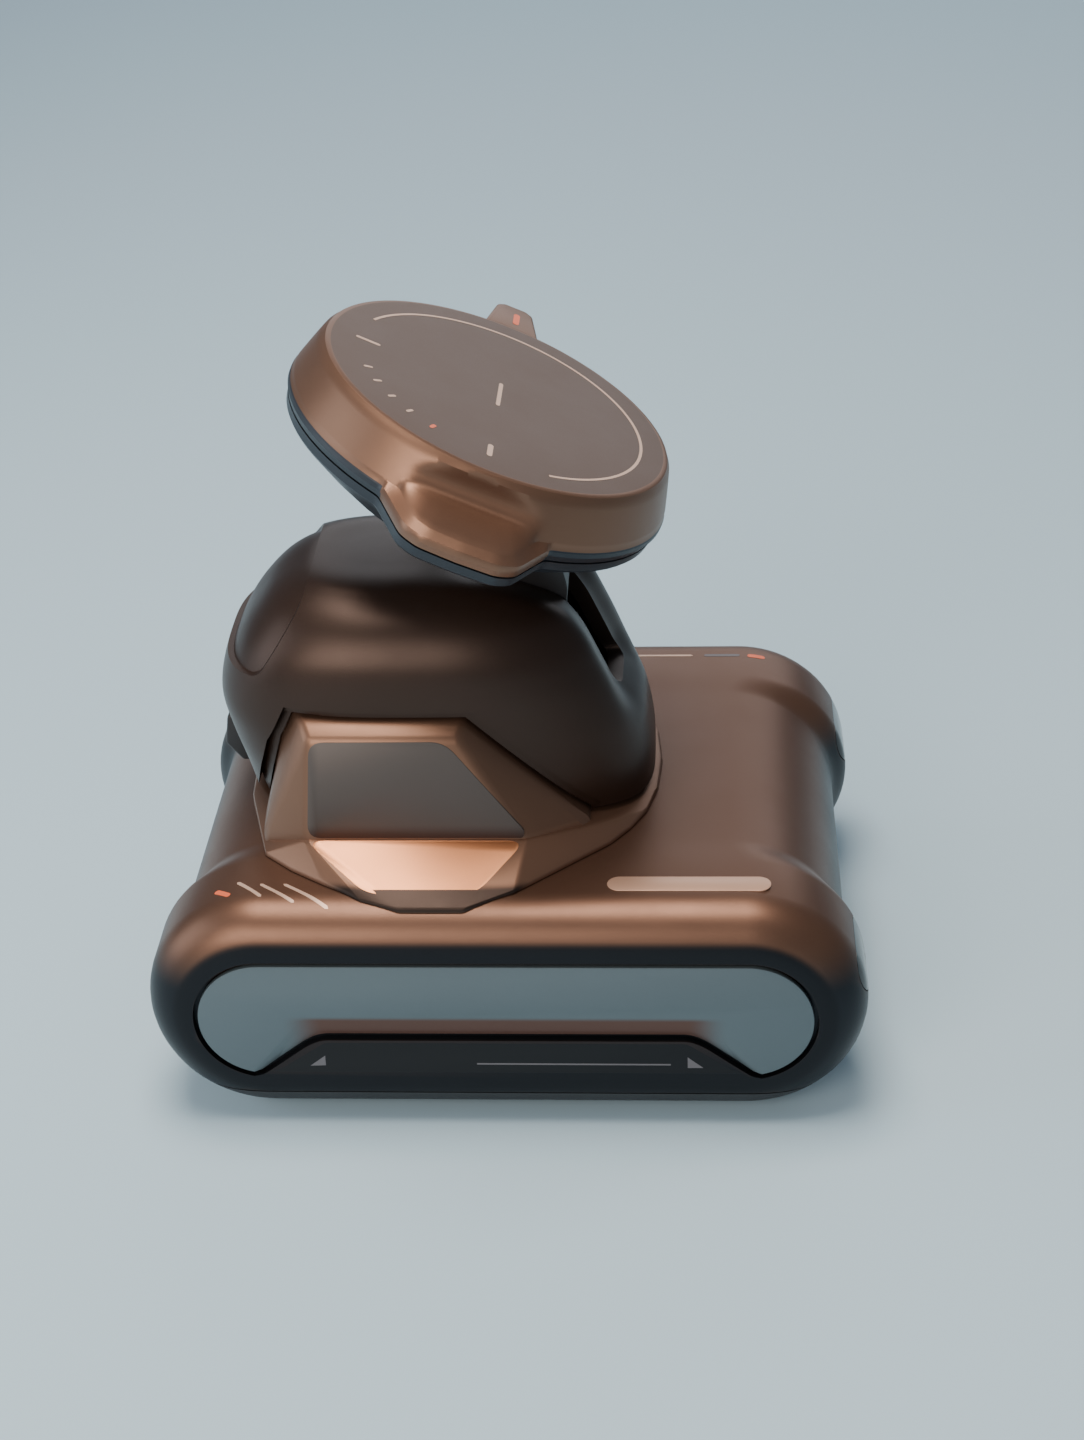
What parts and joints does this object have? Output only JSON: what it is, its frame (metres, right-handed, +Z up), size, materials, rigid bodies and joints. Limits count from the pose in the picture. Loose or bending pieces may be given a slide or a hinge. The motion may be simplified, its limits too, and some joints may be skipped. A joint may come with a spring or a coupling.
{
  "type": "two-wheel desktop robot with tilting magnetic phone plate",
  "caption": "Desktop robot car: a low base with a pod on each side, hidden driven wheels and ball casters, and a geared neck that tilts a round magnetic plate for a phone",
  "frame": {"origin": "on the floor, under the middle of the base", "axes": "+X is the robot's front, +Y its left and +Z up; the wheels turn about Y and the neck tilts about Y"},
  "size_m": [0.12, 0.097, 0.1242],
  "materials": {
    "bronze_plastic": "satin bronze lacquer on plastic",
    "dark_plastic": "fine matt, dark brown",
    "panel_grey": "satin blue-grey lacquer",
    "black_plastic": "fine matt",
    "smoked_lens": "polished, smoked",
    "rubber": "soft matt rubber",
    "white_nylon": "natural nylon",
    "steel": "plain steel",
    "magnet": "bright nickel plate",
    "board_green": "solder mask",
    "cell_silver": "foil wrap",
    "servo_blue": "smooth moulded case"
  },
  "bodies": {
    "base": {"base_top_shell": "bronze_plastic", "base_bottom_shell": "black_plastic", "base_screw_1": "steel", "base_screw_2": "steel", "base_screw_3": "steel", "base_screw_4": "steel", "side_panel_left": "panel_grey", "side_panel_right": "panel_grey", "headlight_lens_left": "smoked_lens", "headlight_lens_right": "smoked_lens", "headlight_led_left": "white_nylon", "headlight_led_right": "white_nylon", "hump_fairing": "bronze_plastic", "neck_cover": "dark_plastic", "pivot_frame": "black_plastic", "frame_screw_1": "steel", "frame_screw_2": "steel", "frame_screw_3": "steel", "frame_screw_4": "steel", "pivot_bush_left": "white_nylon", "pivot_bush_right": "white_nylon", "tilt_servo": "servo_blue", "power_switch": "steel", "main_board": "board_green", "battery": "cell_silver", "battery_tray": "black_plastic", "charge_socket": "steel", "drive_motor_left": "steel", "drive_motor_right": "steel", "drive_gearbox_left": "white_nylon", "drive_gearbox_right": "white_nylon", "motor_strap_left": "black_plastic", "motor_strap_right": "black_plastic", "caster_cup_front": "black_plastic", "caster_cup_rear": "black_plastic"},
    "left_wheel": {"wheel_axle_left": "steel", "wheel_hub_left": "white_nylon", "tyre_left": "rubber"},
    "right_wheel": {"wheel_axle_right": "steel", "wheel_hub_right": "white_nylon", "tyre_right": "rubber"},
    "front_caster": {"caster_ball_front": "steel"},
    "rear_caster": {"caster_ball_rear": "steel"},
    "power_key": {"power_button": "black_plastic"},
    "pinion": {"tilt_pinion": "white_nylon"},
    "head": {"neck_arm": "dark_plastic", "neck_gear": "white_nylon", "pivot_pin": "steel", "head_front_shell": "bronze_plastic", "head_back_cover": "dark_plastic", "magnet_ring": "magnet", "magnet_yoke": "steel", "head_screw_1": "steel", "head_screw_2": "steel", "head_screw_3": "steel", "neck_screw_1": "steel", "neck_screw_2": "steel"}
  },
  "joints": [
    {"name": "left_wheel_spin", "type": "hinge", "parent": "base", "child": "left_wheel", "pos_m": [0, 0.037, 0.013], "axis": [0, 1, 0], "continuous": true},
    {"name": "right_wheel_spin", "type": "hinge", "parent": "base", "child": "right_wheel", "pos_m": [0, -0.037, 0.013], "axis": [0, 1, 0], "continuous": true},
    {"name": "front_caster_roll", "type": "hinge", "parent": "base", "child": "front_caster", "pos_m": [0.039, 0, 0.004], "axis": [0, 1, 0], "continuous": true},
    {"name": "rear_caster_roll", "type": "hinge", "parent": "base", "child": "rear_caster", "pos_m": [-0.039, 0, 0.004], "axis": [0, 1, 0], "continuous": true},
    {"name": "neck_tilt", "type": "hinge", "parent": "base", "child": "head", "pos_m": [0.002, 0, 0.06], "axis": [0, 1, 0], "range_deg": [-10, 50]},
    {"name": "pinion_turn", "type": "hinge", "parent": "base", "child": "pinion", "pos_m": [-0.014, 0, 0.06], "axis": [0, 1, 0], "range_deg": [-95, 20]},
    {"name": "power_key_press", "type": "slide", "parent": "base", "child": "power_key", "axis": [1, 0, 0], "range_m": [0, 0.0008], "stiffness_N_per_m": 1000, "springref_m": -0.0003}
  ],
  "couplings": [
    {"joint": "pinion_turn", "follows": "neck_tilt", "ratio": -1.8571}
  ]
}
